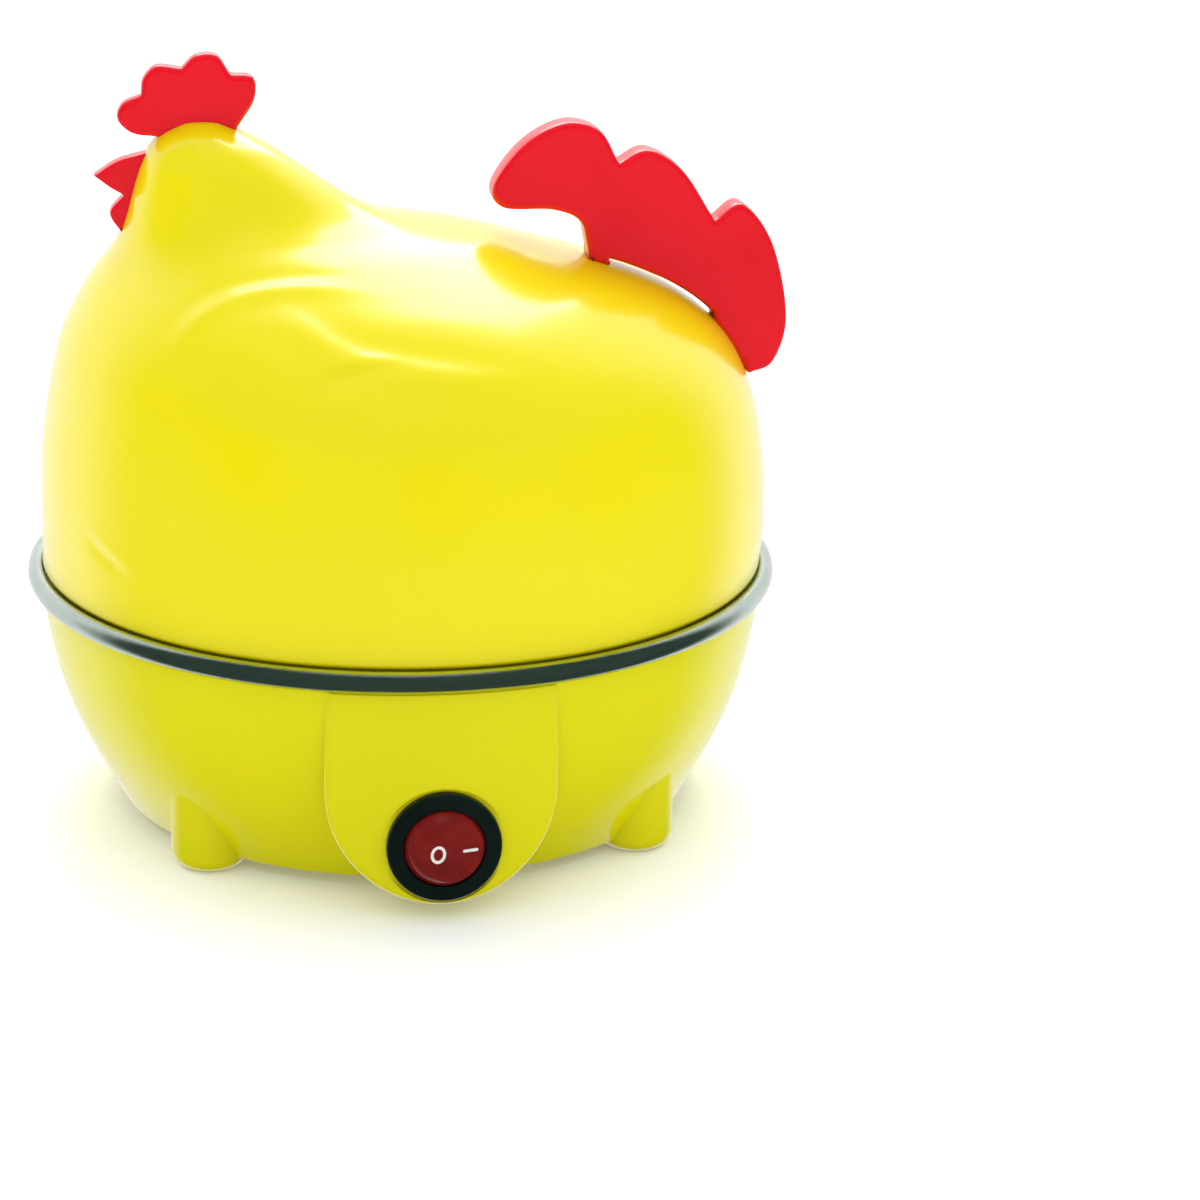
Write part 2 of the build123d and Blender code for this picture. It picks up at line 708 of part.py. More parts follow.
finish(tail_handle.part, "tail_handle")

tail_screws = Compound(children=[screw(place, 2.8, 1.6, 1.5, 8) for place in tail_screw_planes])
finish(tail_screws, "tail_screws")
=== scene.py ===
"""Looks of the hen-shaped egg cooker: yellow plastic shells, steel rim, red comb and tail."""
import json
import math

import bpy
import numpy as np
from mathutils import Matrix, Vector
from mathutils.geometry import tessellate_polygon


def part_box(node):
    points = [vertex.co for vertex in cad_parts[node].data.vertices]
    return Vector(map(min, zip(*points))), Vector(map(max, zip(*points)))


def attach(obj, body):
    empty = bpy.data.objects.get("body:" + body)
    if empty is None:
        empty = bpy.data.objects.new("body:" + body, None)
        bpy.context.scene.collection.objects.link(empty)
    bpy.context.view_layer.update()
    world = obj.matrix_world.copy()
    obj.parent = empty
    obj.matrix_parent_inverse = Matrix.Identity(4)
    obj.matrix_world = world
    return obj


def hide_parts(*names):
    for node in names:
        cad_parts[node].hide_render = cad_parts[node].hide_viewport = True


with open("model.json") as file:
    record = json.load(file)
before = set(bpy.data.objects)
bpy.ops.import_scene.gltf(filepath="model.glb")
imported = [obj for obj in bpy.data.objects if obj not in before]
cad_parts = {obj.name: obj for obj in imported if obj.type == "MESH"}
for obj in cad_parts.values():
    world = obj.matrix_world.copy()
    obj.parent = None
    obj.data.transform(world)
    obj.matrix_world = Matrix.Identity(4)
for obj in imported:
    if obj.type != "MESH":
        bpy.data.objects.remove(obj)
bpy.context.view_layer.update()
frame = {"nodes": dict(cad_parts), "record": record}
nodes = frame["nodes"]
MM = 0.001


# ---------------------------------------------------------------- mesh helpers

def mesh_object(name, points, faces, material, smooth=True):
    """Object from a list of points in metres and a list of faces."""
    mesh = bpy.data.meshes.new(name)
    mesh.from_pydata([tuple(p) for p in points], [], [tuple(f) for f in faces])
    mesh.validate()
    mesh.polygons.foreach_set("use_smooth", [smooth] * len(mesh.polygons))
    mesh.materials.append(material)
    made = bpy.data.objects.new(name, mesh)
    bpy.context.scene.collection.objects.link(made)
    return made


def ring_faces(rows, columns, start=0):
    """Faces of a grid of rows that close round."""
    faces = []
    for r in range(rows - 1):
        for c in range(columns):
            d = (c + 1) % columns
            a = start + r * columns
            b = a + columns
            faces.append((a + c, a + d, b + d, b + c))
    return faces


def smooth_curve(knots, values):
    """Monotone cubic through the knots, as a function of an array."""
    knots, values = np.asarray(knots, float), np.asarray(values, float)
    step = np.diff(knots)
    rise = np.diff(values) / step
    slope = np.zeros(len(knots))
    slope[0], slope[-1] = rise[0], rise[-1]
    for i in range(1, len(knots) - 1):
        if rise[i - 1] * rise[i] > 0:
            w1, w2 = 2 * step[i] + step[i - 1], step[i] + 2 * step[i - 1]
            slope[i] = (w1 + w2) / (w1 / rise[i - 1] + w2 / rise[i])

    def curve(at):
        i = np.clip(np.searchsorted(knots, at) - 1, 0, len(knots) - 2)
        t = (at - knots[i]) / step[i]
        h00, h10 = 2 * t**3 - 3 * t**2 + 1, t**3 - 2 * t**2 + t
        h01, h11 = 3 * t**2 - 2 * t**3, t**3 - t**2
        return (h00 * values[i] + h10 * step[i] * slope[i]
                + h01 * values[i + 1] + h11 * step[i] * slope[i + 1])

    return curve


def spline(points, per_span=10):
    """Catmull-Rom points through an open outline."""
    p = [Vector(q) for q in points]
    p = [2 * p[0] - p[1]] + p + [2 * p[-1] - p[-2]]
    out = []
    for i in range(1, len(p) - 2):
        for k in range(per_span):
            t = k / per_span
            out.append(0.5 * (2 * p[i] + (p[i + 1] - p[i - 1]) * t
                              + (2 * p[i - 1] - 5 * p[i] + 4 * p[i + 1] - p[i + 2]) * t**2
                              + (3 * p[i] - p[i - 1] - 3 * p[i + 1] + p[i + 2]) * t**3))
    out.append(p[-2])
    return out


# ---------------------------------------------------------------- materials

def set_inputs(node, **values):
    for key, value in values.items():
        node.inputs[key.replace("_", " ")].default_value = value


def surface(name, low, high, roughness, scale, grain=0.0, grain_scale=900.0, rough_spread=0.05,
            edge=0.0, stretch=(1, 1, 1), **settings):
    """Principled finish whose colour and gloss wander slowly, with a fine grain and soft edges."""
    material = bpy.data.materials.new(name)
    material.use_nodes = True
    tree = material.node_tree
    shader = tree.nodes["Principled BSDF"]
    for key, value in settings.items():
        shader.inputs[key.replace("_", " ")].default_value = value
    place = tree.nodes.new("ShaderNodeTexCoord")
    mapping = tree.nodes.new("ShaderNodeMapping")
    mapping.inputs["Scale"].default_value = stretch
    tree.links.new(place.outputs["Object"], mapping.inputs["Vector"])
    cloud = tree.nodes.new("ShaderNodeTexNoise")
    set_inputs(cloud, Scale=scale, Detail=4.0, Roughness=0.55)
    tree.links.new(mapping.outputs["Vector"], cloud.inputs["Vector"])
    colour = tree.nodes.new("ShaderNodeValToRGB")
    colour.color_ramp.elements[0].position = 0.3
    colour.color_ramp.elements[1].position = 0.7
    colour.color_ramp.elements[0].color = (*low, 1)
    colour.color_ramp.elements[1].color = (*high, 1)
    tree.links.new(cloud.outputs["Fac"], colour.inputs["Fac"])
    tree.links.new(colour.outputs["Color"], shader.inputs["Base Color"])
    gloss = tree.nodes.new("ShaderNodeMapRange")
    set_inputs(gloss, To_Min=roughness - rough_spread / 2, To_Max=roughness + rough_spread / 2)
    tree.links.new(cloud.outputs["Fac"], gloss.inputs["Value"])
    tree.links.new(gloss.outputs["Result"], shader.inputs["Roughness"])
    normal = None
    if edge:
        bevel = tree.nodes.new("ShaderNodeBevel")
        bevel.samples = 6
        bevel.inputs["Radius"].default_value = edge
        normal = bevel.outputs["Normal"]
    if grain:
        fine = tree.nodes.new("ShaderNodeTexNoise")
        set_inputs(fine, Scale=grain_scale, Detail=3.0)
        tree.links.new(mapping.outputs["Vector"], fine.inputs["Vector"])
        bump = tree.nodes.new("ShaderNodeBump")
        set_inputs(bump, Strength=grain, Distance=0.0002)
        tree.links.new(fine.outputs["Fac"], bump.inputs["Height"])
        if normal is not None:
            tree.links.new(normal, bump.inputs["Normal"])
        normal = bump.outputs["Normal"]
    if normal is not None:
        tree.links.new(normal, shader.inputs["Normal"])
    return material


finishes = {
    "yellow_plastic_lid": surface("lid_yellow", (0.80, 0.69, 0.0), (0.83, 0.715, 0.0), 0.22, 14,
                                  grain=0.04, grain_scale=420, Coat_Weight=0.5,
                                  Coat_Roughness=0.12, Specular_IOR_Level=0.5),
    "yellow_plastic_base": surface("base_yellow", (0.66, 0.62, 0.0), (0.695, 0.65, 0.0), 0.2, 16,
                                   grain=0.05, grain_scale=420, edge=0.0006,
                                   Coat_Weight=0.3, Coat_Roughness=0.1, Specular_IOR_Level=0.3),
    "zinc_screws": surface("zinc", (0.55, 0.56, 0.56), (0.72, 0.73, 0.74), 0.34, 300, grain=0.3,
                           Metallic=1.0),
    "dish_steel": surface("steel", (0.44, 0.53, 0.47), (0.58, 0.64, 0.60), 0.16, 60, grain=0.12,
                          grain_scale=500, stretch=(1, 1, 9), Metallic=1.0),
    "cast_aluminium": surface("aluminium", (0.50, 0.51, 0.52), (0.66, 0.67, 0.68), 0.5, 160,
                              grain=0.8, Metallic=1.0),
    "element_sheath": surface("sheath", (0.16, 0.15, 0.15), (0.34, 0.32, 0.30), 0.42, 140,
                              grain=0.3, Metallic=1.0),
    "tinned_brass": surface("brass", (0.62, 0.56, 0.42), (0.76, 0.71, 0.58), 0.3, 260, grain=0.2,
                            Metallic=1.0),
    "thermostat_body": surface("bakelite", (0.035, 0.03, 0.028), (0.07, 0.06, 0.055), 0.42, 120,
                               grain=0.4),
    "fuse_metal": surface("fuse", (0.5, 0.47, 0.4), (0.66, 0.62, 0.54), 0.3, 240, grain=0.2,
                          Metallic=1.0),
    "glass_fibre_sleeve": surface("sleeve", (0.72, 0.70, 0.62), (0.86, 0.84, 0.76), 0.8, 500,
                                  grain=1.0, grain_scale=1800, Sheen_Weight=0.3),
    "block_plastic": surface("block", (0.66, 0.66, 0.62), (0.78, 0.78, 0.74), 0.45, 90, grain=0.2),
    "black_plastic": surface("black", (0.0012, 0.006, 0.005), (0.003, 0.011, 0.009), 0.3, 120,
                             grain=0.12, edge=0.0006),
    "red_translucent": surface("rocker_red", (0.22, 0.006, 0.006), (0.34, 0.012, 0.010), 0.18, 240,
                               Transmission_Weight=0.35, Coat_Weight=0.5,
                               Coat_Roughness=0.05),
    "lamp_glass": surface("lamp", (0.85, 0.62, 0.45), (0.95, 0.80, 0.62), 0.08, 120,
                          Transmission_Weight=0.8),
    "wire_brown": surface("brown_wire", (0.10, 0.035, 0.014), (0.15, 0.055, 0.022), 0.4, 120,
                          grain=0.2),
    "wire_blue": surface("blue_wire", (0.012, 0.07, 0.34), (0.02, 0.10, 0.44), 0.4, 120,
                         grain=0.2),
    "white_plastic": surface("tray_white", (0.66, 0.67, 0.69), (0.73, 0.74, 0.76), 0.3, 18,
                             grain=0.08, grain_scale=420, edge=0.002, Coat_Weight=0.15),
    "red_plastic": surface("comb_red", (0.76, 0.0, 0.010), (0.84, 0.0, 0.014), 0.22, 40,
                           grain=0.06, grain_scale=420, Coat_Weight=0.2, Coat_Roughness=0.1),
}
marks = surface("mark_white", (0.72, 0.66, 0.64), (0.84, 0.78, 0.76), 0.5, 900, grain=0.3)

for entry in frame["record"]["subparts"]:
    nodes[entry["node"]].data.materials.clear()
    nodes[entry["node"]].data.materials.append(finishes[entry["material_slot"]])


# ---------------------------------------------------------------- lid

# Height above the hen's lower edge, front of the breast, widest station, end of the back, half width
hen_levels = np.array([
    (0.0, -76.85, 0.0, 76.85, 76.85), (8.7, -76.6, 0.3, 77.6, 77.1), (17.7, -76.5, 0.4, 77.4, 76.8),
    (26.7, -75.9, 0.0, 76.4, 75.6), (34.7, -74.7, -1.0, 74.7, 73.5), (42.2, -73.2, -2.5, 71.8, 70.0),
    (48.7, -71.5, -4.5, 67.4, 64.8), (55.2, -68.4, -8.0, 59.4, 57.4), (60.7, -65.2, -11.5, 47.8, 48.8),
    (64.7, -62.2, -16.0, 34.4, 40.6), (68.7, -59.3, -22.5, 20.4, 32.0), (72.2, -57.9, -31.0, 0.0, 25.0),
    (75.7, -56.8, -35.5, -8.8, 21.2), (79.7, -55.7, -37.5, -15.3, 18.6), (83.7, -54.4, -39.0, -21.2, 16.6),
    (87.7, -52.5, -40.5, -27.2, 14.0), (90.9, -49.4, -41.3, -33.2, 9.8), (92.9, -45.5, -41.5, -37.5, 4.6),
]) * MM
lid_wall = 1.8 * MM
lid_rows = 230
lid_columns = 288
arc_samples = 4000
# The back bulges further from the rim's axis than the breast, so the box isn't centred on that axis
belly_shift = 0.42 * MM
# Rings that round off the crown: share of its outline, height above it in mm
crown_rings = ((0.75, 0.22), (0.5, 0.34), (0.25, 0.39))
lid_low, lid_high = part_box("lid_shell")
hen_bottom = lid_high.z - hen_levels[-1, 0]
lid_base = Vector(((lid_low.x + lid_high.x) / 2 - belly_shift, 0, hen_bottom))
lip_bottom = (lid_low.z - hen_bottom) / MM
# Closed outline of the lip inside the steel rim: radius, height above the lower edge
lip_outline = [(75.4, 4.0), (75.15, 0.4), (75.15, -1.7), (74.7, lip_bottom),
               (73.9, lip_bottom), (73.5, -1.7), (73.5, 3.4), (74.2, 4.0)]


def hen_surface():
    """Outside of the hen as rows of points from the lower edge to the crown."""
    rise = hen_levels[:, 0]
    breast, widest, back, half = (smooth_curve(rise, hen_levels[:, k]) for k in (1, 2, 3, 4))
    fine = np.linspace(rise[0], rise[-1], arc_samples)
    run = np.hypot(np.diff(back(fine)), np.diff(fine))
    along = np.concatenate([[0], np.cumsum(run)])
    levels = np.interp(np.linspace(0, along[-1], lid_rows), along, fine)
    turn = np.linspace(0, 2 * math.pi, lid_columns, endpoint=False)
    rows = []
    for level in levels:
        middle = (breast(level) + back(level)) / 2
        reach = (back(level) - breast(level)) / 2
        shift = widest(level) - middle
        x = middle + reach * np.cos(turn) + shift * np.sin(turn)**2
        rows.append(np.stack([x, half(level) * np.sin(turn), np.full_like(x, level)], 1))
    crown = rows[-1]
    centre = crown.mean(0)
    for share, lift in crown_rings:
        rows.append(centre + (crown - centre) * share + np.array((0, 0, lift * MM)))
    return np.array(rows) + np.array(lid_base)


def grid_normals(rows):
    """Outward normals of a closed-round grid."""
    across = np.roll(rows, -1, 1) - np.roll(rows, 1, 1)
    up = np.gradient(rows, axis=0)
    normal = np.cross(across, up)
    return normal / np.maximum(np.linalg.norm(normal, axis=2, keepdims=True), 1e-12)


far_off = 1.0
normal_share = 0.9
fold_depth_reach = 4 * MM


def near_line(points, normals, line):
    """Distance to a polyline along the surface, side of it (+ above) and place along it, 0 to 1."""
    best = np.full(points.shape[:2], 1e9)
    side = np.zeros_like(best)
    along = np.zeros_like(best)
    line = np.array([tuple(p) for p in line])
    lengths = np.linalg.norm(np.diff(line, axis=0), axis=1)
    start = np.concatenate([[0], np.cumsum(lengths)])
    for i, (a, b) in enumerate(zip(line[:-1], line[1:])):
        t = np.clip(((points - a) @ (b - a)) / lengths[i]**2, 0, 1)
        offset = points - (a + t[..., None] * (b - a))
        lift = (offset * normals).sum(2, keepdims=True)
        distance = np.linalg.norm(offset - normal_share * lift * normals, axis=2)
        distance = np.where(np.abs(lift[..., 0]) > fold_depth_reach, far_off, distance)
        closer = distance < best
        best = np.where(closer, distance, best)
        sign = np.sign((np.cross(normals, b - a) * offset).sum(2))
        side = np.where(closer, sign, side)
        along = np.where(closer, (start[i] + t * lengths[i]) / start[-1], along)
    return best, side, along


def fade(along, head, tail):
    """1 along a line's middle, falling to 0 over its head and tail shares."""
    rise = np.clip(along / head, 0, 1)
    fall = np.clip((1 - along) / tail, 0, 1)
    return rise**2 * (3 - 2 * rise) * fall**2 * (3 - 2 * fall)


# Folds of the feathers on one side: line, height, width, fade at head and tail
folds = [
    ([(-50, -43, 107), (-45, -39, 114), (-37, -37, 118), (-23, -37, 120), (-8, -38, 119)],
     0.4, 2.6, 0.25, 0.45),
    ([(-32, -38, 119), (-18, -54, 110), (0, -59, 107), (21, -58, 104)], 0.55, 3.4, 0.3, 0.35),
    ([(-24, -61, 103), (-17, -58, 107), (-3, -58, 108)], -0.3, 1.8, 0.3, 0.4),
    ([(-69, -34, 70), (-65, -41, 67), (-59, -49, 64)], -0.5, 1.6, 0.35, 0.35),
]
# A weaker dip beside each fold, this share of it and this many widths away
dip_share = 0.45
dip_away = 1.5
eye_place = np.array((-46.4, -12.7, 140.6)) * MM
eye_size = np.array((3.6, 4.0, 1.5)) * MM
eye_depth = 0.55 * MM
plain_edge = 6 * MM


def relief(rows):
    """Feather folds and the eyes, pressed into both sides of the hen."""
    normals = grid_normals(rows)
    mirrored = rows * np.array((1, -1, 1))
    mirrored_normals = normals * np.array((1, -1, 1))
    near_side = rows[..., 1] < 0
    points = np.where(near_side[..., None], rows, mirrored)
    point_normals = np.where(near_side[..., None], normals, mirrored_normals)
    height = np.zeros(rows.shape[:2])
    for line, lift, width, head, tail in folds:
        line = spline([Vector(p) * MM for p in line], 6)
        distance, side, along = near_line(points, point_normals, line)
        step = side * distance / (width * MM)
        shape = np.exp(-step**2) - dip_share * np.exp(-(step - dip_away)**2)
        height += lift * MM * shape * fade(along, head, tail)
    height -= eye_depth * np.exp(-(((points - eye_place) / eye_size)**2).sum(2))
    above_edge = np.clip((rows[..., 2] - rows[0, 0, 2]) / plain_edge, 0, 1)
    return rows + normals * (height * above_edge)[..., None]


def build_lid():
    """The lid: outer and inner hen surface, closed at the lower edge, and the lip."""
    outside = relief(hen_surface())
    inside = outside - grid_normals(outside) * lid_wall
    inside[0, :, 2] = outside[0, :, 2]
    count = len(outside) * lid_columns
    points = np.concatenate([outside.reshape(-1, 3), inside.reshape(-1, 3)])
    faces = ring_faces(len(outside), lid_columns)
    faces += [tuple(reversed(f)) for f in ring_faces(len(outside), lid_columns, count)]
    top = count - lid_columns
    faces.append(tuple(top + c for c in range(lid_columns)))
    faces.append(tuple(reversed([count + top + c for c in range(lid_columns)])))
    points = [tuple(p) for p in points]
    first = len(points)
    turn = np.linspace(0, 2 * math.pi, lid_columns, endpoint=False)
    for radius, rise in lip_outline:
        points += [(radius * MM * math.cos(a), radius * MM * math.sin(a), hen_bottom + rise * MM)
                   for a in turn]
    for r in range(len(lip_outline)):
        a = first + r * lid_columns
        b = first + (r + 1) % len(lip_outline) * lid_columns
        for c in range(lid_columns):
            d = (c + 1) % lid_columns
            faces.append((a + c, a + d, b + d, b + c)[::-1])
    for c in range(lid_columns):
        d = (c + 1) % lid_columns
        faces.append((c, count + c, count + d, d))
    lid = mesh_object("lid", points, faces, finishes["yellow_plastic_lid"])
    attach(lid, "lid")
    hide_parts("lid_shell")


build_lid()


# ---------------------------------------------------------------- comb, beak and tail

edge_steps = 6
across_ratio = 1.8
tip_share = 0.42


def slab(name, outline, thickness, rounding, node, body, slot_name):
    """Flat moulding in the plane of symmetry with rounded edges."""
    ring = [Vector((p[0], p[1])) * MM for p in outline]
    area = sum(a.x * b.y - b.x * a.y for a, b in zip(ring, ring[1:] + ring[:1]))
    if area < 0:
        ring.reverse()
    count = len(ring)
    inward = []
    for i in range(count):
        along = (ring[(i + 1) % count] - ring[i - 1]).normalized()
        inward.append(Vector((-along.y, along.x)))
    run = np.concatenate([[0], np.cumsum([(b - a).length for a, b in zip(ring, ring[1:])])])
    around = run[-1] + (ring[0] - ring[-1]).length
    room = []
    for i in range(count):
        apart = np.array([(ring[i] - q).length for q in ring])
        gap = np.abs(run - run[i])
        gap = np.minimum(gap, around - gap)
        across = apart[gap > across_ratio * apart]
        room.append(min(1.0, tip_share * across.min() / (rounding * MM)) if len(across) else 1.0)
    half = thickness * MM / 2
    points = []
    profile = []
    for k in range(edge_steps + 1):
        a = math.pi / 2 * k / edge_steps
        profile.append((rounding * MM * (1 - math.sin(a)), half - rounding * MM * (1 - math.cos(a))))
    profile += [(inset, -y) for inset, y in reversed(profile)]
    profile = profile[::-1]
    for inset, y in profile:
        for p, n, share in zip(ring, inward, room):
            q = p + n * inset * share
            points.append((q.x, -y, q.y))
    faces = [f[::-1] for f in ring_faces(len(profile), count)]
    sides = len(faces)
    last = (len(profile) - 1) * count
    cap = [Vector((points[c][0], points[c][2], 0)) for c in range(count)]
    for a, b, c in tessellate_polygon([cap]):
        turn = (cap[b] - cap[a]).cross(cap[c] - cap[a]).z
        a, b, c = (a, b, c) if turn > 0 else (c, b, a)
        faces.append((a, b, c))
        faces.append((last + c, last + b, last + a))
    piece = mesh_object(name, points, faces, finishes[slot_name])
    smooth = [i < sides for i in range(len(piece.data.polygons))]
    piece.data.polygons.foreach_set("use_smooth", smooth)
    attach(piece, body)
    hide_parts(node)


def outline(*spans):
    """Closed outline from spans: a span of two points is straight, a longer one is a smooth curve."""
    points = []
    for span in spans:
        dense = spline(span, 10) if len(span) > 2 else [Vector(p) for p in span]
        points += [p for p in dense if not points or (p - points[-1]).length > 0.05]
    if (points[0] - points[-1]).length < 0.05:
        points.pop()
    return [(p.x, p.y) for p in points]


comb_outline = outline(
    [(-50.5, 143.4), (-55.5, 144.2), (-58.4, 147.0), (-57.4, 150.2), (-53.6, 151.9)],
    [(-53.6, 151.9), (-53.0, 155.4), (-50.2, 157.9), (-45.2, 157.4)],
    [(-45.2, 157.4), (-42.4, 159.9), (-38.2, 160.0), (-35.4, 156.1)],
    [(-35.4, 156.1), (-30.8, 155.4), (-30.6, 150.8), (-34.0, 145.3)],
    [(-34.0, 145.3), (-35.5, 142.0)],
    [(-35.5, 142.0), (-48.5, 142.0)],
)
beak_outline = outline(
    [(-52.5, 140.3), (-58.6, 138.6), (-63.5, 135.6)],
    [(-63.5, 135.6), (-60.4, 133.2), (-57.6, 131.5)],
    [(-57.6, 131.5), (-60.5, 127.8), (-58.2, 123.6)],
    [(-58.2, 123.6), (-55.5, 125.0)],
    [(-55.5, 125.0), (-52.0, 138.0)],
)


def back_line(x):
    """Height of the hen's back on the middle line, in mm, from the level table."""
    rise, back = hen_levels[:, 0] / MM, hen_levels[:, 3] / MM
    curve = smooth_curve(rise, back)
    fine = np.linspace(rise[0] + 8, rise[-1], 2000)
    ends = curve(fine)
    return float(np.interp(-x, -ends, fine)) + hen_bottom / MM


tail_seat_1 = [(x, back_line(x) - 0.4) for x in (43.4, 41.5, 38.9)]
tail_seat_2 = [(73.9, 91.2), (71.6, 95.2), (69.2, 98.8), (66.4, back_line(66.4) - 0.4)]
tail_gap_line = [(x, back_line(x) + 1.3) for x in (66.2, 62.0, 57.0, 52.0, 47.0, 43.4)]
tail_outline = outline(
    [(38.8, 119.0), (37.0, 124.8), (31.1, 127.3), (20.8, 127.9), (18.6, 132.5), (24.9, 141.1),
     (33.5, 145.6), (40.9, 143.9), (45.1, 137.0)],
    [(45.1, 137.0), (51.2, 139.7), (58.7, 135.3), (65.9, 124.5)],
    [(65.9, 124.5), (71.8, 127.9), (78.6, 119.3), (82.15, 103.5), (79.6, 93.6), (74.6, 91.0)],
    tail_seat_2,
    tail_gap_line,
    tail_seat_1,
)
slab("comb_slab", comb_outline, 5.0, 1.3, "comb", "lid", "red_plastic")
slab("beak_slab", beak_outline, 5.0, 0.8, "beak_and_wattle", "lid", "red_plastic")
slab("tail_slab", tail_outline, 8.0, 1.2, "tail_handle", "lid", "red_plastic")


# ---------------------------------------------------------------- marks on the rocker

rocker_tilt = 14.0
face_depth = 0.1 * MM
ink = 0.06 * MM
# Mark sizes in mm: the O left of the face's middle, the I lying to its right
half_stroke = 0.3
o_middle = -3.3
o_radii = (1.3, 1.55)
i_middle = 3.5
i_half_length = 1.3
o_sides = 48
cap_sides = 24


def rocker_marks():
    """The O and I printed on the rocker's face, a little proud of it."""
    tilt = math.radians(rocker_tilt)
    right = Vector((math.cos(tilt), math.sin(tilt), 0))
    out = Vector((math.sin(tilt), -math.cos(tilt), 0))
    low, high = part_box("rocker_button")
    corners = [v.co for v in nodes["rocker_button"].data.vertices]
    level = max(c.dot(out) for c in corners)
    front = [c for c in corners if c.dot(out) > level - face_depth]
    across = [c.dot(right) for c in front]
    centre = right * ((min(across) + max(across)) / 2) + out * level
    centre.z = (low.z + high.z) / 2

    def place(u, w, h):
        return centre + right * u * MM + Vector((0, 0, w * MM)) + out * h

    points, faces = [], []
    count = o_sides
    section = ((half_stroke, -ink), (half_stroke, ink), (-half_stroke, ink), (-half_stroke, -ink))
    for wider, h in section:
        for k in range(count):
            a = 2 * math.pi * k / count
            points.append(place(o_middle + (o_radii[0] + wider) * math.cos(a),
                                (o_radii[1] + wider) * math.sin(a), h))
    for r in range(len(section)):
        a = r * count
        b = (r + 1) % len(section) * count
        for c in range(count):
            d = (c + 1) % count
            faces.append((a + c, a + d, b + d, b + c))
    first = len(points)
    bar = []
    for end in (1, -1):
        for k in range(cap_sides + 1):
            a = math.pi * (k / cap_sides - end / 2)
            bar.append((i_middle + end * i_half_length + half_stroke * math.cos(a),
                        half_stroke * math.sin(a)))
    for h in (-ink, ink):
        points += [place(u, w, h) for u, w in bar]
    n = len(bar)
    for c in range(n):
        d = (c + 1) % n
        faces.append((first + c, first + d, first + n + d, first + n + c))
    faces.append(tuple(first + n + c for c in range(n)))
    faces.append(tuple(reversed([first + c for c in range(n)])))
    made = mesh_object("rocker_marks", points, faces, marks, smooth=False)
    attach(made, "rocker")


rocker_marks()


# ---------------------------------------------------------------- stage, light and camera

aim = Vector((0, 0, 0.07))
floor_half = 6.0
floor_drop = 0.05 * MM


def area_light(name, location, size, power, glossy=False):
    """Square light aimed at the object; a fill light doesn't show in reflections."""
    data = bpy.data.lights.new(name, "AREA")
    data.energy = power
    data.shape = "RECTANGLE"
    data.size = size
    data.size_y = size
    light = bpy.data.objects.new(name, data)
    light.location = location
    light.rotation_euler = (aim - Vector(location)).to_track_quat("-Z", "Y").to_euler()
    light.visible_glossy = glossy
    light.visible_camera = False
    bpy.context.scene.collection.objects.link(light)


def build_floor():
    """Pale floor just below the base."""
    z = min(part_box("base_shell")[0].z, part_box("bottom_cover")[0].z) - floor_drop
    corners = [(-1, -1), (1, -1), (1, 1), (-1, 1)]
    white = surface("floor_white", (0.93, 0.93, 0.93), (0.95, 0.95, 0.95), 0.9, 3,
                    Emission_Color=(1, 1, 1, 1), Emission_Strength=0.12, Specular_IOR_Level=0.1)
    floor = mesh_object("floor", [(x * floor_half, y * floor_half, z) for x, y in corners],
                        [(0, 1, 2, 3)], white)
    floor.visible_glossy = False


def span(tree, source, start, end):
    """Map-range node that takes start to 0 and end to 1."""
    node = tree.nodes.new("ShaderNodeMapRange")
    node.inputs["From Min"].default_value = start
    node.inputs["From Max"].default_value = end
    tree.links.new(source, node.inputs["Value"])
    return node.outputs["Result"]


def larger(tree, first, second):
    """The larger of two values."""
    node = tree.nodes.new("ShaderNodeMath")
    node.operation = "MAXIMUM"
    tree.links.new(first, node.inputs[0])
    tree.links.new(second, node.inputs[1])
    return node.outputs["Value"]


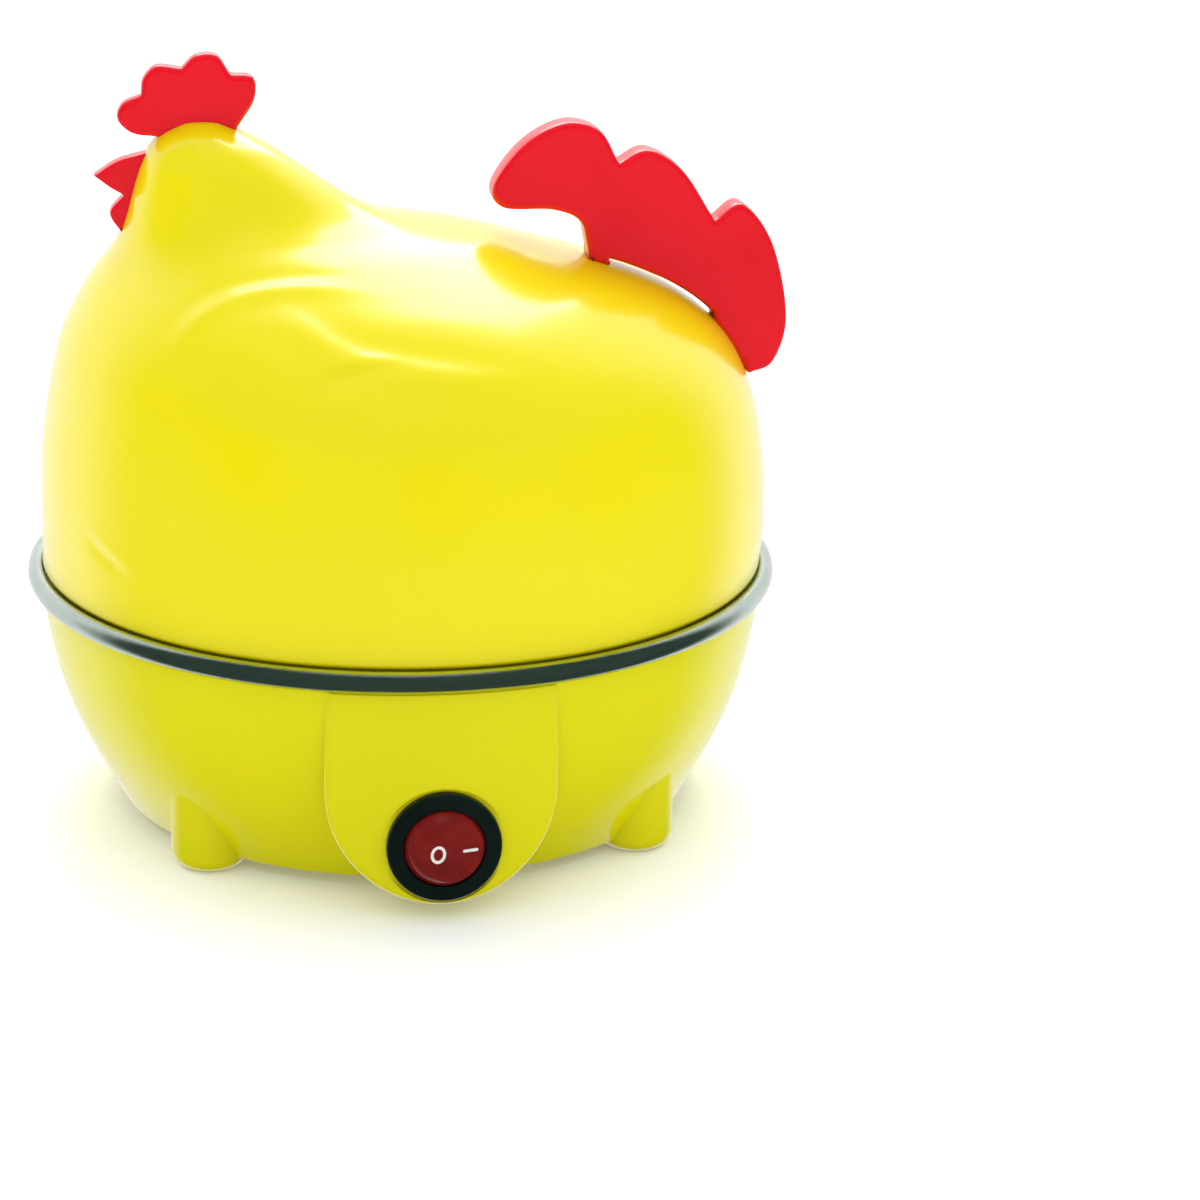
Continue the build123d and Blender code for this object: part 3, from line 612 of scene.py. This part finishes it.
def build_world():
    """Room for light and reflections: dark in front, white behind and overhead. Seen directly, white."""
    world = bpy.data.worlds.new("studio")
    bpy.context.scene.world = world
    world.use_nodes = True
    tree = world.node_tree
    background = tree.nodes["Background"]
    direction = tree.nodes.new("ShaderNodeTexCoord")
    split = tree.nodes.new("ShaderNodeSeparateXYZ")
    tree.links.new(direction.outputs["Generated"], split.inputs["Vector"])
    behind = span(tree, split.outputs["Y"], 0.15, 0.75)
    overhead = span(tree, split.outputs["Z"], 0.93, 1.3)
    room = tree.nodes.new("ShaderNodeValToRGB")
    room.color_ramp.elements[0].position = 0.0
    room.color_ramp.elements[0].color = (0.05, 0.075, 0.062, 1)
    room.color_ramp.elements[1].position = 0.62
    room.color_ramp.elements[1].color = (1.0, 1.0, 1.0, 1)
    tree.links.new(larger(tree, behind, overhead), room.inputs["Fac"])
    paths = tree.nodes.new("ShaderNodeLightPath")
    seen = tree.nodes.new("ShaderNodeMix")
    seen.data_type = "RGBA"
    seen.inputs["B"].default_value = (1, 1, 1, 1)
    tree.links.new(room.outputs["Color"], seen.inputs["A"])
    tree.links.new(paths.outputs["Is Camera Ray"], seen.inputs["Factor"])
    tree.links.new(seen.outputs["Result"], background.inputs["Color"])
    direct = larger(tree, paths.outputs["Is Camera Ray"], paths.outputs["Is Glossy Ray"])
    power = tree.nodes.new("ShaderNodeMapRange")
    power.inputs["To Min"].default_value = 0.75
    power.inputs["To Max"].default_value = 1.0
    tree.links.new(direct, power.inputs["Value"])
    tree.links.new(power.outputs["Result"], background.inputs["Strength"])


def build_lights():
    """One softbox behind and above, fills at the front and sides, and a wide ceiling."""
    area_light("overhead", (0.1, 0.72, 0.78), 0.7, 6.0, glossy=True)
    area_light("front_fill", (-0.5, -1.2, 0.6), 1.0, 3.7)
    area_light("front_fill_right", (0.7, -1.1, 0.5), 1.0, 3.1)
    area_light("left_fill", (-1.3, -0.2, 0.25), 0.8, 2.0)
    area_light("right_fill", (1.3, -0.2, 0.25), 0.8, 2.0)
    area_light("low_fill", (0.0, -1.0, 0.05), 0.6, 0.15)
    data = bpy.data.lights.new("ceiling", "SUN")
    data.energy = 2.9
    data.angle = math.radians(120)
    ceiling = bpy.data.objects.new("ceiling", data)
    ceiling.rotation_euler = (math.radians(-12), 0, 0)
    ceiling.visible_glossy = False
    bpy.context.scene.collection.objects.link(ceiling)


def build_camera():
    """Camera at the viewing angle of the reference: its place and its own right, up and forward."""
    data = bpy.data.cameras.new("camera")
    data.lens = 96.86
    data.sensor_width = 36
    camera = bpy.data.objects.new("camera", data)
    bpy.context.scene.collection.objects.link(camera)
    right = Vector((0.98663534, -0.16182715, 0.01904414))
    up = Vector((0.03485786, 0.32378977, 0.94548671))
    forward = Vector((0.15917171, 0.93218676, -0.32510338))
    pose = Matrix((right, up, -forward)).transposed().to_4x4()
    pose.translation = Vector((-0.069496, -0.661210, 0.270023))
    camera.matrix_world = pose
    bpy.context.scene.camera = camera


build_floor()
build_world()
build_lights()
build_camera()
bpy.context.scene.view_settings.view_transform = "Standard"
